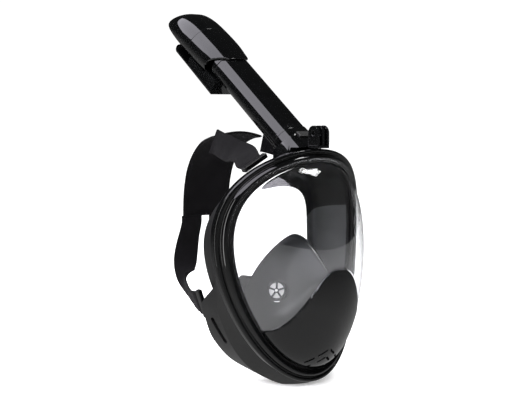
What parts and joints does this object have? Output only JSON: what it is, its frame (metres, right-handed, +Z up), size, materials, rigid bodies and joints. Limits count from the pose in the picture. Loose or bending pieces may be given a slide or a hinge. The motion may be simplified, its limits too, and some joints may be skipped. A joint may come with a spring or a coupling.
{
  "type": "full face snorkel",
  "caption": "Full face snorkelling mask with a bulged clear lens, nose pocket, head harness and a plug-in dry-top snorkel with a brow camera mount.",
  "frame": {"origin": "centre of the face-seal plane, midway between the temple edges of the skirt", "axes": "+X to the wearer's left, +Y towards the wearer's head, +Z up"},
  "size_m": [0.188, 0.2903, 0.3908],
  "materials": {
    "gloss_black": "polished moulded black",
    "satin_black": "fine-textured satin black",
    "inner_plastic": "plain moulded black",
    "clear_lens": "clear moulded polycarbonate",
    "face_silicone": "soft satin silicone",
    "seal_rubber": "dark seal rubber",
    "flap_silicone": "milky silicone",
    "strap_webbing": "elastic woven webbing"
  },
  "bodies": {
    "mask": {"lens_frame": "gloss_black", "rear_frame": "satin_black", "lens": "clear_lens", "lens_gasket": "seal_rubber", "chin_cover": "gloss_black", "face_skirt": "face_silicone", "orinasal_pocket": "face_silicone", "intake_seat_right": "inner_plastic", "intake_seat_left": "inner_plastic", "purge_seat": "inner_plastic", "snorkel_socket": "gloss_black", "camera_mount": "gloss_black", "strap_clip_upper_right": "satin_black", "strap_clip_upper_left": "satin_black", "strap_clip_lower_right": "satin_black", "strap_clip_lower_left": "satin_black", "strap_upper_right": "strap_webbing", "strap_upper_left": "strap_webbing", "strap_lower_right": "strap_webbing", "strap_lower_left": "strap_webbing", "strap_back_panel": "strap_webbing"},
    "snorkel": {"tube_collar": "gloss_black", "snorkel_tube": "gloss_black", "tube_divider": "inner_plastic", "tube_plug": "satin_black", "plug_o_ring": "seal_rubber", "head_base": "gloss_black", "head_cap": "gloss_black", "head_cap_top": "gloss_black", "head_hood": "satin_black", "float_cage": "inner_plastic"},
    "float": {"float_block": "inner_plastic", "float_seal": "seal_rubber"},
    "latch_button": {"release_button": "satin_black"},
    "flap_right": {"intake_flap_right": "flap_silicone"},
    "flap_left": {"intake_flap_left": "flap_silicone"},
    "flap_drain": {"purge_flap": "flap_silicone"}
  },
  "joints": [
    {"name": "snorkel_pull", "type": "slide", "parent": "mask", "child": "snorkel", "axis": [0, 0.809, 0.5878], "range_m": [0, 0.06]},
    {"name": "float_rise", "type": "slide", "parent": "snorkel", "child": "float", "axis": [0, 0.809, 0.5878], "range_m": [0, 0.01]},
    {"name": "button_press", "type": "slide", "parent": "mask", "child": "latch_button", "axis": [0, 0.5878, -0.809], "range_m": [0, 0.0015], "stiffness_N_per_m": 500, "springref_m": -0.0002},
    {"name": "flap_lift_right", "type": "slide", "parent": "mask", "child": "flap_right", "axis": [0.7269, 0.6545, -0.2079], "range_m": [0, 0.0015], "stiffness_N_per_m": 60, "springref_m": -0.0001},
    {"name": "flap_lift_left", "type": "slide", "parent": "mask", "child": "flap_left", "axis": [-0.7269, 0.6545, -0.2079], "range_m": [0, 0.0015], "stiffness_N_per_m": 60, "springref_m": -0.0001},
    {"name": "flap_lift_drain", "type": "slide", "parent": "mask", "child": "flap_drain", "axis": [0, -0.6691, -0.7431], "range_m": [0, 0.0015], "stiffness_N_per_m": 60, "springref_m": -0.0001}
  ]
}
